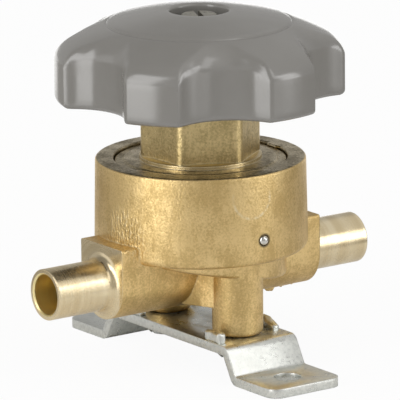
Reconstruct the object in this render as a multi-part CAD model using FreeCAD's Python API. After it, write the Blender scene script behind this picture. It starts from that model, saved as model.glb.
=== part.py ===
import FreeCAD, Part
import math
import os
from FreeCAD import Vector

# Hand shut-off valve with a diaphragm seal and two solder ports, in millimetres.
# The valve axis is Z, the ports lie along X and the bracket along Y.
# The feet of the bracket stand on z = 0.

# Port axis and solder stubs
port_height = 22.2
stub_reach = 45.1
stub_radius = 6.1
stub_edge = 0.35
socket_radius = 4.8
socket_depth = 9.0
socket_edge = 0.5
passage_radius = 3.9
riser_depth = 4.6
root_groove_width = 0.9
root_groove_depth = 0.45

# Square-topped bosses that carry the stubs
boss_reach = 28.9
boss_half_width = 8.4
boss_top_rise = 9.6
boss_edge = 0.6

# Round bowl of the body
bowl_base_rise = 5.1
bowl_height = 21.8
bowl_radius_top = 25.0
bowl_radius_base = 25.4
bowl_base_fillet = 1.7
bowl_rim_fillet = 0.7

# Sloping chamber under the bowl, deeper towards the outlet
chamber_radius = 20.2
chamber_drop = 4.7
chamber_slope = 10.0
chamber_fillet = 1.2

# Two round posts and the web that ties them to the bosses
post_spacing = 28.8
post_radius = 6.05
post_foot_edge = 0.9
web_half_width = 9.5
web_waist = 5.2
web_root_offset = 5.0
web_drop = 6.9

# Inside of the body
chamber_floor_rise = 8.2
bore_radius = 15.0
seat_hole_radius = 4.3
seat_face_rise = 11.7
seat_lip_width = 1.2
seat_flank = 1.6
outlet_offset = 11.6
outlet_radius = 2.6
guide_ledge_rise = 14.0
guide_bore_radius = 17.0
seal_ledge_rise = 20.3

# Steel ball pressed into the side drilling
ball_radius = 1.3
ball_rise = 11.1
ball_sink = 0.55
ball_bore_gap = 0.02
ball_bore_depth = 1.8

# Seal ring, three diaphragms and clamp ring under the bonnet
gasket_thickness = 0.5
gasket_width = 3.2
diaphragm_thickness = 0.15
diaphragm_gap = 0.35
wave_height = 0.35
wave_pitch = 4.0
clamp_thickness = 1.1
clamp_inner_radius = 15.4

# Bonnet screwed into the body, with a hexagon under the handwheel
bonnet_radius = 20.35
bonnet_recess_gap = 0.35
bonnet_lip = 0.7
collar_radius = 14.55
collar_height = 0.95
collar_cone = 0.25
step_radius = 18.1
step_height = 0.35
hex_across = 25.4
hex_angle = 35.0
hex_corner = 2.4
hex_height = 14.9
hex_top_chamfer = 1.2
neck_radius = 9.2
neck_height = 1.6
pad_room = 0.35
stop_room_height = 1.7
spindle_gap = 0.05
dust_seal_wire = 1.0
dust_seal_gap = 0.04
dust_seal_edge = 0.4
dust_seal_depth = 2.6

# Valve cone with its sealing disc
cone_radius = 8.4
disc_radius = 6.6
disc_thickness = 2.2
disc_grip = 1.5
disc_gap = 0.05
cone_flange_radius = 11.2
cone_flange_thickness = 1.6
cone_body_height = 1.6
cone_button_radius = 5.2
cone_button_edge = 0.6
retainer_head_radius = 2.7
retainer_head_height = 1.3
retainer_head_edge = 0.65
retainer_shank_radius = 1.45
retainer_shank_length = 4.2
retainer_gap = 0.05
retainer_bore_spare = 1.0

# Guide ring for the cone
guide_gap = 0.04
guide_fit = 0.08
guide_height = 6.1
guide_slot_count = 6
guide_slot_width = 5.0
guide_slot_height = 2.2

# Return spring round the seat
spring_wire = 1.1
spring_mean_radius = 9.7
spring_turns = 3.0
spring_sides = 8
spring_gap = 0.05

# Thrust pad and spindle
pad_radius = 11.0
pad_height = 2.6
pad_edge = 0.7
pad_socket_radius = 4.0
pad_socket_depth = 1.3
pad_fit = 0.05
spindle_radius = 6.0
stop_collar_radius = 8.2
stop_collar_height = 1.4
stroke = 3.0
spindle_neck_radius = 4.6
spindle_shoulder_radius = 5.6
spindle_shoulder_rise = 0.5
spindle_shoulder_cone = 0.7
square_side = 7.0
square_gap = 0.06
spindle_screw_bore = 2.55
spindle_screw_depth = 9.0

# Handwheel
wheel_radius = 34.3
wheel_top_height = 21.25
wheel_disc_radius = 21.6
wheel_disc_height = 18.35
wheel_disc_step = 0.2
wheel_corner_height = 11.25
wheel_shoulder = 4.2
wheel_wall = 3.0
wheel_lobes = 6
wheel_lobe_angle = 35.0
scallop_radius = 17.2
scallop_floor = 27.8
scallop_edge = 2.2
recess_radius = 6.9
recess_edge = 0.5
recess_depth = 5.8
hub_radius = 8.6
hub_clearance = 1.95
hub_inset = 4.95
rib_thickness = 2.0
rib_base_height = 8.0
wheel_base_edge = 1.2

# Slotted screw and spring washer that hold the handwheel
screw_head_radius = 4.25
screw_head_height = 3.3
screw_head_edge = 0.3
screw_slot_width = 1.25
screw_slot_depth = 1.4
screw_slot_angle = -114.3
screw_radius = 2.5
screw_length = 11.0
washer_radius = 4.5
washer_thickness = 1.1
washer_gap = 0.15
washer_cut_angle = 25.0

# Mounting bracket, bent from one strip
bracket_thickness = 2.2
bracket_width = 20.2
bracket_length = 84.4
bracket_strip_length = 47.0
bracket_riser_run = 3.7
bracket_lift = 6.5
bracket_bend = 1.4
foot_hole_radius = 3.25
foot_hole_spacing = 68.0
foot_corner = 3.0
lug_height = 2.6
lug_thickness = 2.4
lug_length = 6.2
lug_start_outer = 14.4
lug_start_inner = 11.6
lug_edge = 0.7

# Screws that hold the body to the bracket
mount_screw_radius = 2.45
mount_screw_gap = 0.05
mount_screw_length = 11.0
mount_head_radius = 4.9
mount_head_height = 2.3
mount_head_edge = 0.6
mount_slot_width = 1.2
mount_slot_depth = 1.1
mount_hole_gap = 0.3
mount_washer_radius = 4.4
mount_washer_thickness = 1.0
mount_washer_gap = 0.25
mount_bore_spare = 1.5

# Levels that several pieces share
bowl_base = port_height + bowl_base_rise
bowl_top = bowl_base + bowl_height
chamber_floor = port_height + chamber_floor_rise
seat_face = port_height + seat_face_rise
guide_ledge = port_height + guide_ledge_rise
seal_ledge = port_height + seal_ledge_rise
recess_wall = bonnet_radius + bonnet_recess_gap
gasket_top = seal_ledge + gasket_thickness
diaphragm_base = gasket_top
diaphragm_top = diaphragm_base + 3 * diaphragm_thickness
clamp_top = diaphragm_top + clamp_thickness
bonnet_top = bowl_top - bonnet_lip
pad_base = diaphragm_top
pad_top = pad_base + pad_height
pad_ceiling = pad_top + stroke + pad_room
stop_ceiling = pad_ceiling + stop_room_height
hex_base = bonnet_top + step_height + collar_height + collar_cone
hex_top = hex_base + hex_height
neck_top = hex_top + neck_height
hub_base = neck_top + hub_clearance
wheel_base = hub_base - hub_inset
wheel_top = wheel_base + wheel_top_height
hub_floor = wheel_top - recess_depth
strip_top = bracket_thickness + bracket_lift
strip_base = strip_top - bracket_thickness
spindle_bore = spindle_radius + spindle_gap
sides = (-1, 1)
fuzz = 1e-4
origin = Vector(0, 0, 0)
up = Vector(0, 0, 1)


def lathe(points):
    """Solid of revolution about the valve axis, from (radius, height) points."""
    corners = [Vector(radius, 0, height) for radius, height in points]
    face = Part.Face(Part.makePolygon(corners + corners[:1]))
    return face.revolve(origin, up, 360)


def disc(radius, base, top):
    return Part.makeCylinder(radius, top - base, Vector(0, 0, base))


def washer(outer, inner, base, top):
    return disc(outer, base, top).cut(disc(inner, base - 1, top + 1))


def rings(shape, radius, height):
    """Circular edges of a shape that have this radius and lie at this height."""
    found = []
    for edge in shape.Edges:
        if edge.Degenerated or not isinstance(edge.Curve, Part.Circle):
            continue
        if abs(edge.Curve.Radius - radius) > fuzz:
            continue
        if abs(edge.Curve.Center.z - height) < fuzz:
            found.append(edge)
    return found


def turned(shape, angle):
    copy = shape.copy()
    copy.rotate(origin, up, angle)
    return copy


def moved(shape, x, y, z=0):
    copy = shape.copy()
    copy.translate(Vector(x, y, z))
    return copy


def clean(shape):
    """One plain solid, with split faces joined again."""
    return shape.removeSplitter().Solids[0]


# Body


def bowl_blank():
    cone = Part.makeCone(bowl_radius_base, bowl_radius_top, bowl_height, Vector(0, 0, bowl_base))
    cone = cone.makeFillet(bowl_base_fillet, rings(cone, bowl_radius_base, bowl_base))
    return cone.makeFillet(bowl_rim_fillet, rings(cone, bowl_radius_top, bowl_top))


def chamber_blank():
    """Round chamber whose underside slopes down towards the outlet at +X."""
    reach = 2 * chamber_radius
    chamber = disc(chamber_radius, bowl_base - reach, bowl_base + bowl_base_fillet)
    knife = Part.makeBox(2 * reach, 2 * reach, 2 * reach, Vector(-reach, -reach, -2 * reach))
    knife.rotate(origin, Vector(0, 1, 0), chamber_slope)
    knife.translate(Vector(0, 0, bowl_base - chamber_drop))
    chamber = chamber.cut(knife)
    slanted = [edge for edge in chamber.Edges if isinstance(edge.Curve, Part.Ellipse)]
    return chamber.makeFillet(chamber_fillet, slanted)


def boss_blank():
    """Bar along X with a flat top and a half-round underside."""
    top = port_height + boss_top_rise
    half = boss_half_width
    start = Vector(-boss_reach, -half, port_height)
    corner_a = Vector(-boss_reach, -half, top)
    corner_b = Vector(-boss_reach, half, top)
    finish = Vector(-boss_reach, half, port_height)
    lowest = Vector(-boss_reach, 0, port_height - half)
    edges = [
        Part.makeLine(start, corner_a),
        Part.makeLine(corner_a, corner_b),
        Part.makeLine(corner_b, finish),
        Part.Arc(finish, lowest, start).toShape(),
    ]
    bar = Part.Face(Part.Wire(edges)).extrude(Vector(2 * boss_reach, 0, 0))
    long_edges = []
    for edge in bar.Edges:
        centre = edge.CenterOfMass
        if abs(centre.x) < fuzz and abs(centre.z - top) < fuzz:
            long_edges.append(edge)
    return bar.makeFillet(boss_edge, long_edges)


def stub(side):
    """Turned solder stub on one boss, with its root groove."""
    face = side * boss_reach
    along = Vector(side, 0, 0)
    tube = Part.makeCylinder(stub_radius, stub_reach, Vector(0, 0, port_height), along)
    end = side * stub_reach
    outer = [edge for edge in tube.Edges if abs(edge.CenterOfMass.x - end) < fuzz]
    tube = tube.makeChamfer(stub_edge, outer)
    start = Vector(face, 0, port_height)
    ring = Part.makeCylinder(stub_radius + 1, root_groove_width, start, along)
    core = Part.makeCylinder(stub_radius - root_groove_depth, root_groove_width, start, along)
    return tube.cut(ring.cut(core))


def post_blank(side):
    y = side * post_spacing / 2
    post = Part.makeCylinder(post_radius, bowl_base - strip_top + 1, Vector(0, y, strip_top))
    foot = rings(post, post_radius, strip_top)
    return post.makeChamfer(post_foot_edge, foot)


def web_blank():
    """Web under the bosses that tapers to a post on both sides and narrows upwards."""
    reach = post_spacing / 2
    root = web_root_offset
    wires = []
    for flank, height in ((web_half_width, port_height - web_drop), (web_waist, bowl_base + 1)):
        half = [(web_waist, -reach), (flank, -root), (flank, root), (web_waist, reach)]
        outline = half + [(-x, -y) for x, y in half]
        corners = [Vector(x, y, height) for x, y in outline]
        wires.append(Part.makePolygon(corners + corners[:1]))
    return Part.makeLoft(wires, True, True)


def ball_spot():
    """Centre of the ball, a little way inside the bowl's wall."""
    share = (port_height + ball_rise - bowl_base) / bowl_height
    wall = bowl_radius_base + (bowl_radius_top - bowl_radius_base) * share
    return Vector(0, -wall + ball_sink, port_height + ball_rise)


def body_hollow():
    """Everything that is bored out from above."""
    lip = seat_hole_radius + seat_lip_width
    return lathe([
        (seat_hole_radius, chamber_floor - 1),
        (seat_hole_radius, seat_face),
        (lip, seat_face),
        (lip + seat_flank, chamber_floor),
        (bore_radius, chamber_floor),
        (bore_radius, guide_ledge),
        (guide_bore_radius, guide_ledge),
        (guide_bore_radius, seal_ledge),
        (recess_wall, seal_ledge),
        (recess_wall, bowl_top + 1),
        (0, bowl_top + 1),
        (0, chamber_floor - 1),
    ])


def port_bores():
    """Sockets, the two passages and the risers to the seat and the chamber."""
    cuts = []
    for side in sides:
        along = Vector(-side, 0, 0)
        mouth = Vector(side * stub_reach, 0, port_height)
        socket = Part.makeCylinder(socket_radius, socket_depth, mouth, along)
        flare = Part.makeCone(socket_radius + socket_edge, socket_radius, socket_edge, mouth, along)
        cuts += [socket, flare]
    inlet_start = Vector(-stub_reach, 0, port_height)
    inlet = Part.makeCylinder(passage_radius, stub_reach, inlet_start, Vector(1, 0, 0))
    riser = disc(seat_hole_radius, port_height - riser_depth, seat_face)
    outlet_start = Vector(stub_reach, 0, port_height)
    outlet_run = stub_reach - outlet_offset
    outlet = Part.makeCylinder(passage_radius, outlet_run, outlet_start, Vector(-1, 0, 0))
    climb = Part.makeCylinder(outlet_radius, chamber_floor_rise + 1, Vector(outlet_offset, 0, port_height))
    return cuts + [inlet, riser, outlet, climb]


def valve_body():
    body = bowl_blank().fuse([chamber_blank(), boss_blank(), web_blank()])
    body = body.fuse([post_blank(side) for side in sides])
    body = body.fuse([stub(side) for side in sides])
    body = body.cut(body_hollow())
    body = body.cut(port_bores())
    for side in sides:
        depth = mount_screw_length - bracket_thickness - mount_washer_thickness + mount_bore_spare
        y = side * post_spacing / 2
        tapped = Part.makeCylinder(mount_screw_radius + mount_screw_gap, depth, Vector(0, y, strip_top))
        body = body.cut(tapped)
    spot = ball_spot()
    outside = Vector(0, -bowl_radius_base - 1, spot.z)
    length = spot.y - outside.y + ball_bore_depth
    drilling = Part.makeCylinder(ball_radius + ball_bore_gap, length, outside, Vector(0, 1, 0))
    return body.cut(drilling).Solids[0]


# Bonnet and what it clamps


def hexagon(across, base, top):
    """Hexagonal bar with rounded corners."""
    corner = across / math.sqrt(3)
    points = []
    for step in range(7):
        angle = math.radians(hex_angle + step * 60)
        points.append(Vector(corner * math.cos(angle), corner * math.sin(angle), base))
    bar = Part.Face(Part.makePolygon(points)).extrude(Vector(0, 0, top - base))
    middle = (base + top) / 2
    upright = [edge for edge in bar.Edges if abs(edge.CenterOfMass.z - middle) < fuzz]
    return bar.makeFillet(hex_corner, upright)


def bonnet():
    inside = spindle_bore
    collar_base = bonnet_top + step_height
    cone_base = collar_base + collar_height
    plate = lathe([
        (inside, clamp_top),
        (bonnet_radius, clamp_top),
        (bonnet_radius, bonnet_top),
        (step_radius + step_height, bonnet_top),
        (step_radius, collar_base),
        (collar_radius, collar_base),
        (collar_radius, cone_base),
        (hex_across / 2, hex_base),
        (inside, hex_base),
    ])
    blank = hexagon(hex_across, cone_base, hex_top)
    point = hex_across / math.sqrt(3)
    cap = lathe([
        (0, cone_base),
        (point, cone_base),
        (point, hex_top - hex_top_chamfer),
        (point - 2 * hex_top_chamfer, hex_top),
        (0, hex_top),
    ])
    blank = blank.common(cap)
    body = plate.fuse([blank, disc(neck_radius, hex_top - 1, neck_top)])
    body = body.cut(disc(pad_radius + pad_room, clamp_top - 1, pad_ceiling))
    body = body.cut(disc(stop_collar_radius + pad_room, clamp_top - 1, stop_ceiling))
    body = body.cut(disc(inside, clamp_top - 1, neck_top + 1))
    seal_wall = spindle_neck_radius + 2 * dust_seal_wire
    body = body.cut(disc(seal_wall, neck_top - dust_seal_depth, neck_top + 1))
    return clean(body)


def gasket():
    return washer(bonnet_radius, bonnet_radius - gasket_width, seal_ledge, gasket_top)


def diaphragm(level):
    """Thin disc, flat where it is clamped and waved towards the middle."""
    base = diaphragm_base + level * diaphragm_thickness
    rim = recess_wall - diaphragm_gap
    lower = [(0, base)]
    radius = cone_flange_radius
    while radius + wave_pitch < clamp_inner_radius + fuzz:
        lower.append((radius, base))
        lower.append((radius + wave_pitch / 2, base - wave_height))
        radius += wave_pitch
    lower.append((radius, base))
    lower.append((rim, base))
    upper = [(r, h + diaphragm_thickness) for r, h in reversed(lower)]
    return lathe(lower + upper)


def clamp_ring():
    return washer(bonnet_radius, clamp_inner_radius, diaphragm_top, clamp_top)


def dust_seal():
    """Rubber ring in the top of the bonnet, round the neck of the spindle."""
    inner = spindle_neck_radius + dust_seal_gap
    outer = spindle_neck_radius + 2 * dust_seal_wire - dust_seal_gap
    base = neck_top - dust_seal_depth
    ring = washer(outer, inner, base, base + 2 * dust_seal_wire)
    corners = rings(ring, outer, base) + rings(ring, outer, base + 2 * dust_seal_wire)
    corners += rings(ring, inner, base) + rings(ring, inner, base + 2 * dust_seal_wire)
    return ring.makeChamfer(dust_seal_edge, corners)


# Moving pieces inside


def cone_levels():
    """Underside of the cone, of its flange and of its button."""
    base = seat_face + disc_thickness - disc_grip
    flange = base + disc_grip + cone_body_height
    return base, flange, flange + cone_flange_thickness


def valve_cone():
    base, flange, shelf = cone_levels()
    pocket = seat_face + disc_thickness
    shape = lathe([
        (disc_radius + disc_gap, base),
        (cone_radius, base),
        (cone_radius, flange),
        (cone_flange_radius, flange),
        (cone_flange_radius, shelf),
        (cone_button_radius, shelf),
        (cone_button_radius, diaphragm_base),
        (0, diaphragm_base),
        (0, pocket),
        (disc_radius + disc_gap, pocket),
    ])
    shape = shape.makeChamfer(cone_button_edge, rings(shape, cone_button_radius, diaphragm_base))
    tapped = retainer_shank_radius + retainer_gap
    bore_top = seat_face + retainer_shank_length + retainer_bore_spare
    return clean(shape.cut(disc(tapped, pocket - 1, bore_top)))


def seat_disc():
    hole = retainer_shank_radius + retainer_gap
    return washer(disc_radius, hole, seat_face, seat_face + disc_thickness)


def disc_screw():
    head_base = seat_face - retainer_head_height
    head = disc(retainer_head_radius, head_base, seat_face)
    head = head.makeChamfer(retainer_head_edge, rings(head, retainer_head_radius, head_base))
    shank = disc(retainer_shank_radius, head_base + retainer_head_edge, seat_face + retainer_shank_length)
    return clean(head.fuse(shank))


def cone_guide():
    """Ring that the flange of the cone slides in, with windows for the flow."""
    top = guide_ledge + guide_height
    inner = cone_flange_radius + guide_gap
    ring = washer(guide_bore_radius - guide_fit, inner, guide_ledge, top)
    for step in range(guide_slot_count):
        slot = Part.makeBox(2 * guide_bore_radius, guide_slot_width, guide_slot_height,
                            Vector(0, -guide_slot_width / 2, top - guide_slot_height))
        ring = ring.cut(turned(slot, step * 360 / guide_slot_count))
    return clean(ring)


def return_spring():
    """Wire wound between the chamber floor and the flange of the cone, with few faces."""
    rise = cone_levels()[1] - spring_gap - chamber_floor - spring_wire
    radius = spring_wire / 2
    corners = []
    for step in range(spring_sides + 1):
        angle = 2 * math.pi * step / spring_sides
        spot = Vector(spring_mean_radius + radius * math.cos(angle), 0, radius * math.sin(angle))
        corners.append(spot + up * (chamber_floor + radius))
    ring = Part.Wire(Part.makePolygon(corners))
    path = Part.makeHelix(rise / spring_turns, rise, spring_mean_radius)
    path.translate(up * (chamber_floor + radius))
    return Part.Wire(path).makePipeShell([ring], True, True)


def thrust_pad():
    shape = disc(pad_radius, pad_base, pad_top)
    shape = shape.makeChamfer(pad_edge, rings(shape, pad_radius, pad_base))
    shape = shape.makeChamfer(pad_edge / 2, rings(shape, pad_radius, pad_top))
    return clean(shape.cut(disc(pad_socket_radius, pad_top - pad_socket_depth, pad_top + 1)))


def square_bar(side, base, top):
    bar = Part.makeBox(side, side, top - base, Vector(-side / 2, -side / 2, base))
    return turned(bar, wheel_lobe_angle)


def spindle():
    """Nose, stop collar, threaded shank, neck, shoulder and square end."""
    nose_base = pad_top - pad_socket_depth
    collar_base = pad_top + pad_room / 2
    collar_top = collar_base + stop_collar_height
    thread_top = neck_top - dust_seal_depth - stroke
    shoulder_base = neck_top + spindle_shoulder_rise
    shape = lathe([
        (0, nose_base),
        (pad_socket_radius - pad_fit, nose_base),
        (pad_socket_radius - pad_fit, collar_base),
        (stop_collar_radius, collar_base),
        (stop_collar_radius, collar_top),
        (spindle_radius, collar_top),
        (spindle_radius, thread_top - 1),
        (spindle_neck_radius, thread_top),
        (spindle_neck_radius, shoulder_base),
        (spindle_shoulder_radius, shoulder_base + spindle_shoulder_cone),
        (spindle_shoulder_radius, hub_base),
        (0, hub_base),
    ])
    shape = shape.fuse(square_bar(square_side, hub_base - 1, hub_floor))
    return clean(shape.cut(disc(spindle_screw_bore, hub_floor - spindle_screw_depth, hub_floor + 1)))


# Handwheel


def dome_circle(start, finish):
    """Centre on the valve axis, and radius, of the circle through two points."""
    rise = (start.z ** 2 - finish.z ** 2 + start.x ** 2 - finish.x ** 2) / (2 * (start.z - finish.z))
    centre = up * rise
    return centre, (start - centre).Length


def arc_about(centre, radius, start, finish):
    middle = (start + finish) / 2 - centre
    return Part.Arc(start, centre + middle.normalize() * radius, finish).toShape()


def domed(start, finish):
    """Arc between two points in the X-Z plane, about a centre on the valve axis."""
    centre, radius = dome_circle(start, finish)
    return arc_about(centre, radius, start, finish)


def dome(base):
    """Outside of the wheel before it is scalloped: a low disc, the crown, a round shoulder, the side."""
    step = wheel_disc_step
    top = up * wheel_top
    disc_edge = Vector(wheel_disc_radius, 0, wheel_base + wheel_disc_height)
    crown_start = disc_edge + Vector(step, 0, -step)
    corner = Vector(wheel_radius, 0, wheel_base + wheel_corner_height)
    centre, radius = dome_circle(crown_start, corner)
    inset = wheel_radius - wheel_shoulder
    turn = Vector(inset, 0, centre.z + math.sqrt((radius - wheel_shoulder) ** 2 - inset ** 2))
    crown_end = centre + (turn - centre).normalize() * radius
    side_start = turn + Vector(wheel_shoulder, 0, 0)
    foot = Vector(wheel_radius, 0, base)
    edges = [
        domed(top, disc_edge),
        Part.makeLine(disc_edge, crown_start),
        arc_about(centre, radius, crown_start, crown_end),
        arc_about(turn, wheel_shoulder, crown_end, side_start),
        Part.makeLine(side_start, foot),
        Part.makeLine(foot, up * base),
        Part.makeLine(up * base, top),
    ]
    return Part.Face(Part.Wire(edges)).revolve(origin, up, 360)


def inner_dome(base):
    """Plainer dome inside the wheel that leaves its wall."""
    side = wheel_radius - wheel_wall
    top = up * (wheel_top - wheel_wall)
    corner = Vector(side, 0, wheel_base + wheel_corner_height - wheel_wall)
    foot = Vector(side, 0, base)
    edges = [
        domed(top, corner),
        Part.makeLine(corner, foot),
        Part.makeLine(foot, up * base),
        Part.makeLine(up * base, top),
    ]
    return Part.Face(Part.Wire(edges)).revolve(origin, up, 360)


def lobed(shape, inset):
    """The form with one upright scallop cut between each two lobes."""
    distance = scallop_floor + scallop_radius
    for step in range(wheel_lobes):
        angle = math.radians(wheel_lobe_angle + (step + 0.5) * 360 / wheel_lobes)
        spot = Vector(distance * math.cos(angle), distance * math.sin(angle), wheel_base - 1)
        shape = shape.cut(Part.makeCylinder(scallop_radius + inset, 2 * wheel_radius, spot))
    return shape


def scallop_edges(form):
    """Edges where the scallops meet the crown and the lobes."""
    found = []
    for edge in form.Edges:
        centre = edge.CenterOfMass
        outside = math.hypot(centre.x, centre.y) > scallop_floor - 1
        if outside and centre.z > wheel_base + fuzz and not edge.Degenerated:
            if not isinstance(edge.Curve, Part.Circle):
                found.append(edge)
    return found


def wheel_pocket():
    """Hollow of the wheel, round the hub and its ribs."""
    pocket = lobed(inner_dome(wheel_base - 1), wheel_wall)
    pocket = pocket.cut(disc(hub_radius, hub_base, wheel_top))
    for step in range(wheel_lobes):
        rib = Part.makeBox(wheel_radius, rib_thickness, wheel_radius,
                           Vector(0, -rib_thickness / 2, wheel_base + rib_base_height))
        pocket = pocket.cut(turned(rib, wheel_lobe_angle + step * 360 / wheel_lobes))
    return pocket


def handwheel():
    """Hollow moulded wheel with six lobes, a hub with a square bore and a recess for the screw."""
    form = lobed(dome(wheel_base), 0)
    form = form.makeFillet(scallop_edge, scallop_edges(form))
    rim = [edge for edge in form.Edges if abs(edge.BoundBox.ZMax - wheel_base) < fuzz]
    form = form.makeChamfer(wheel_base_edge, rim)
    form = form.cut(disc(recess_radius, hub_floor, wheel_top + 1))
    brim = [edge for edge in form.Edges
            if abs(edge.BoundBox.XMax - recess_radius) < fuzz and edge.CenterOfMass.z > hub_floor + 1]
    form = form.makeFillet(recess_edge, brim)
    form = form.cut(wheel_pocket())
    return clean(form.cut(square_bar(square_side + 2 * square_gap, hub_base - 1, hub_floor + 1)))


def handwheel_screw():
    base = hub_floor + washer_thickness
    top = base + screw_head_height
    head = disc(screw_head_radius, base, top)
    head = head.makeChamfer(screw_head_edge, rings(head, screw_head_radius, top))
    slot = Part.makeBox(4 * screw_head_radius, screw_slot_width, screw_slot_depth + 1,
                        Vector(-2 * screw_head_radius, -screw_slot_width / 2, top - screw_slot_depth))
    head = head.cut(turned(slot, screw_slot_angle))
    shank = disc(screw_radius, base - screw_length + washer_thickness, base)
    return clean(head.fuse(shank))


def split_washer(outer, inner, thickness, gap):
    """Flat ring with the slanted cut of a spring washer."""
    ring = washer(outer, inner, 0, thickness)
    cut = Part.makeBox(2 * outer, gap, 4 * thickness, Vector(0, -gap / 2, -2 * thickness))
    cut.rotate(origin, Vector(1, 0, 0), washer_cut_angle)
    return ring.cut(cut)


def handwheel_washer():
    ring = split_washer(washer_radius, screw_radius + washer_gap, washer_thickness, washer_gap)
    return moved(ring, 0, 0, hub_floor)


# Bracket and its fasteners


def strip_section():
    """Outline of the bent strip in the Y-Z plane, thickness included."""
    strip = bracket_strip_length / 2
    foot = strip + bracket_riser_run
    end = bracket_length / 2
    top = [(-end, bracket_thickness), (-foot, bracket_thickness), (-strip, strip_top),
           (strip, strip_top), (foot, bracket_thickness), (end, bracket_thickness)]
    riser = math.atan2(bracket_lift, bracket_riser_run)
    shift = bracket_thickness * math.tan(riser / 2)
    bottom = [(end, 0), (foot - shift, 0), (strip - shift, strip_base),
              (-strip + shift, strip_base), (-foot + shift, 0), (-end, 0)]
    return top + bottom


def mounting_bracket():
    half = bracket_width / 2
    corners = [Vector(-half, y, z) for y, z in strip_section()]
    strip = Part.Face(Part.makePolygon(corners + corners[:1])).extrude(Vector(bracket_width, 0, 0))
    foot_line = bracket_strip_length / 2 + bracket_riser_run + fuzz
    bends = []
    upright = []
    for edge in strip.Edges:
        centre = edge.CenterOfMass
        if abs(centre.x) < fuzz and abs(centre.y) < foot_line:
            bends.append(edge)
        if abs(centre.y) > bracket_length / 2 - fuzz and abs(abs(centre.x) - half) < fuzz:
            upright.append(edge)
    strip = strip.makeFillet(foot_corner, upright)
    bends = [edge for edge in strip.Edges
             if abs(edge.CenterOfMass.x) < fuzz and abs(edge.CenterOfMass.y) < foot_line]
    strip = strip.makeFillet(bracket_bend, bends)
    for side in sides:
        foot_hole = Vector(0, side * foot_hole_spacing / 2, -1)
        strip = strip.cut(Part.makeCylinder(foot_hole_radius, strip_top + 2, foot_hole))
        post_hole = Vector(0, side * post_spacing / 2, 0)
        strip = strip.cut(Part.makeCylinder(mount_screw_radius + mount_hole_gap, strip_top + 1, post_hole))
    for turn in (0, 180):
        for x, start in ((-half, lug_start_outer), (half - lug_thickness, lug_start_inner)):
            lug = Part.makeBox(lug_thickness, lug_length, lug_height + bracket_thickness,
                               Vector(x, -start - lug_length, strip_base))
            rim = [edge for edge in lug.Edges if edge.CenterOfMass.z > strip_top + lug_height - fuzz]
            lug = lug.makeFillet(lug_edge, rim)
            strip = strip.fuse(turned(lug, turn))
    return clean(strip)


def bracket_screws():
    """Two slotted pan-head screws, driven up into the posts."""
    group = []
    head_top = strip_base - mount_washer_thickness
    head_base = head_top - mount_head_height
    head = disc(mount_head_radius, head_base, head_top)
    head = head.makeChamfer(mount_head_edge, rings(head, mount_head_radius, head_base))
    slot = Part.makeBox(4 * mount_head_radius, mount_slot_width, mount_slot_depth + 1,
                        Vector(-2 * mount_head_radius, -mount_slot_width / 2, head_base - 1))
    shank = disc(mount_screw_radius, head_top - mount_head_edge, head_top + mount_screw_length)
    screw = head.cut(slot).fuse(shank)
    for side in sides:
        group.append(moved(screw, 0, side * post_spacing / 2))
    return Part.makeCompound(group)


def bracket_washers():
    """Spring washers between the screw heads and the strip."""
    group = []
    inner = mount_screw_radius + mount_washer_gap
    ring = split_washer(mount_washer_radius, inner, mount_washer_thickness, mount_washer_gap)
    for side in sides:
        group.append(moved(ring, 0, side * post_spacing / 2, strip_base - mount_washer_thickness))
    return Part.makeCompound(group)


def ball_plug():
    return Part.makeSphere(ball_radius, ball_spot())


pieces = {
    "valve_body": valve_body,
    "ball_plug": ball_plug,
    "body_gasket": gasket,
    "diaphragm_lower": lambda: diaphragm(0),
    "diaphragm_middle": lambda: diaphragm(1),
    "diaphragm_upper": lambda: diaphragm(2),
    "clamp_ring": clamp_ring,
    "bonnet": bonnet,
    "dust_seal": dust_seal,
    "cone_guide": cone_guide,
    "valve_cone": valve_cone,
    "seat_disc": seat_disc,
    "disc_screw": disc_screw,
    "return_spring": return_spring,
    "thrust_pad": thrust_pad,
    "spindle": spindle,
    "handwheel": handwheel,
    "handwheel_screw": handwheel_screw,
    "handwheel_washer": handwheel_washer,
    "mounting_bracket": mounting_bracket,
    "bracket_screws": bracket_screws,
    "bracket_washers": bracket_washers,
}

os.makedirs("parts", exist_ok=True)
for name, make in pieces.items():
    shape = make()
    shape.exportStep("parts/" + name + ".step")
    print(name, "valid", shape.isValid(), "solids", len(shape.Solids), "cm3", round(shape.Volume / 1000, 3))
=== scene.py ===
import math

import bmesh
import bpy
from mathutils import Matrix, Vector


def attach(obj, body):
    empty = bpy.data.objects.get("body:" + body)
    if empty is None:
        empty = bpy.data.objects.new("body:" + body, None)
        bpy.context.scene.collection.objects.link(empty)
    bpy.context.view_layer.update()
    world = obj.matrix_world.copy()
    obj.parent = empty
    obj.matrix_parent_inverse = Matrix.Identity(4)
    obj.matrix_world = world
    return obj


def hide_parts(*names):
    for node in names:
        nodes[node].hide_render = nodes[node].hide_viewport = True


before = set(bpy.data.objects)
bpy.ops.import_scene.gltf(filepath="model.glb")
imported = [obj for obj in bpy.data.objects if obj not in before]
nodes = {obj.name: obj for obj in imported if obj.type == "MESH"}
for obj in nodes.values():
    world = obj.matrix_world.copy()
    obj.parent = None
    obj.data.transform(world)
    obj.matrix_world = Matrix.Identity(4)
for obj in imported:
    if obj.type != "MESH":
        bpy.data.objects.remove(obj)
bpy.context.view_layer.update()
mm = 0.001
print("frame loaded:", len(nodes), "nodes")


# small helpers for node trees
class Field:
    # a value in a node tree: the signs of arithmetic and abs put math nodes into that tree
    def __init__(self, socket):
        self.socket = socket

    def __abs__(self):
        return calc("ABSOLUTE", self)


for sign, mathName in (("add", "ADD"), ("sub", "SUBTRACT"), ("mul", "MULTIPLY"), ("truediv", "DIVIDE"),
                       ("pow", "POWER")):
    setattr(Field, f"__{sign}__", lambda self, other, name=mathName: calc(name, self, other))
    setattr(Field, f"__r{sign}__", lambda self, other, name=mathName: calc(name, other, self))


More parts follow.
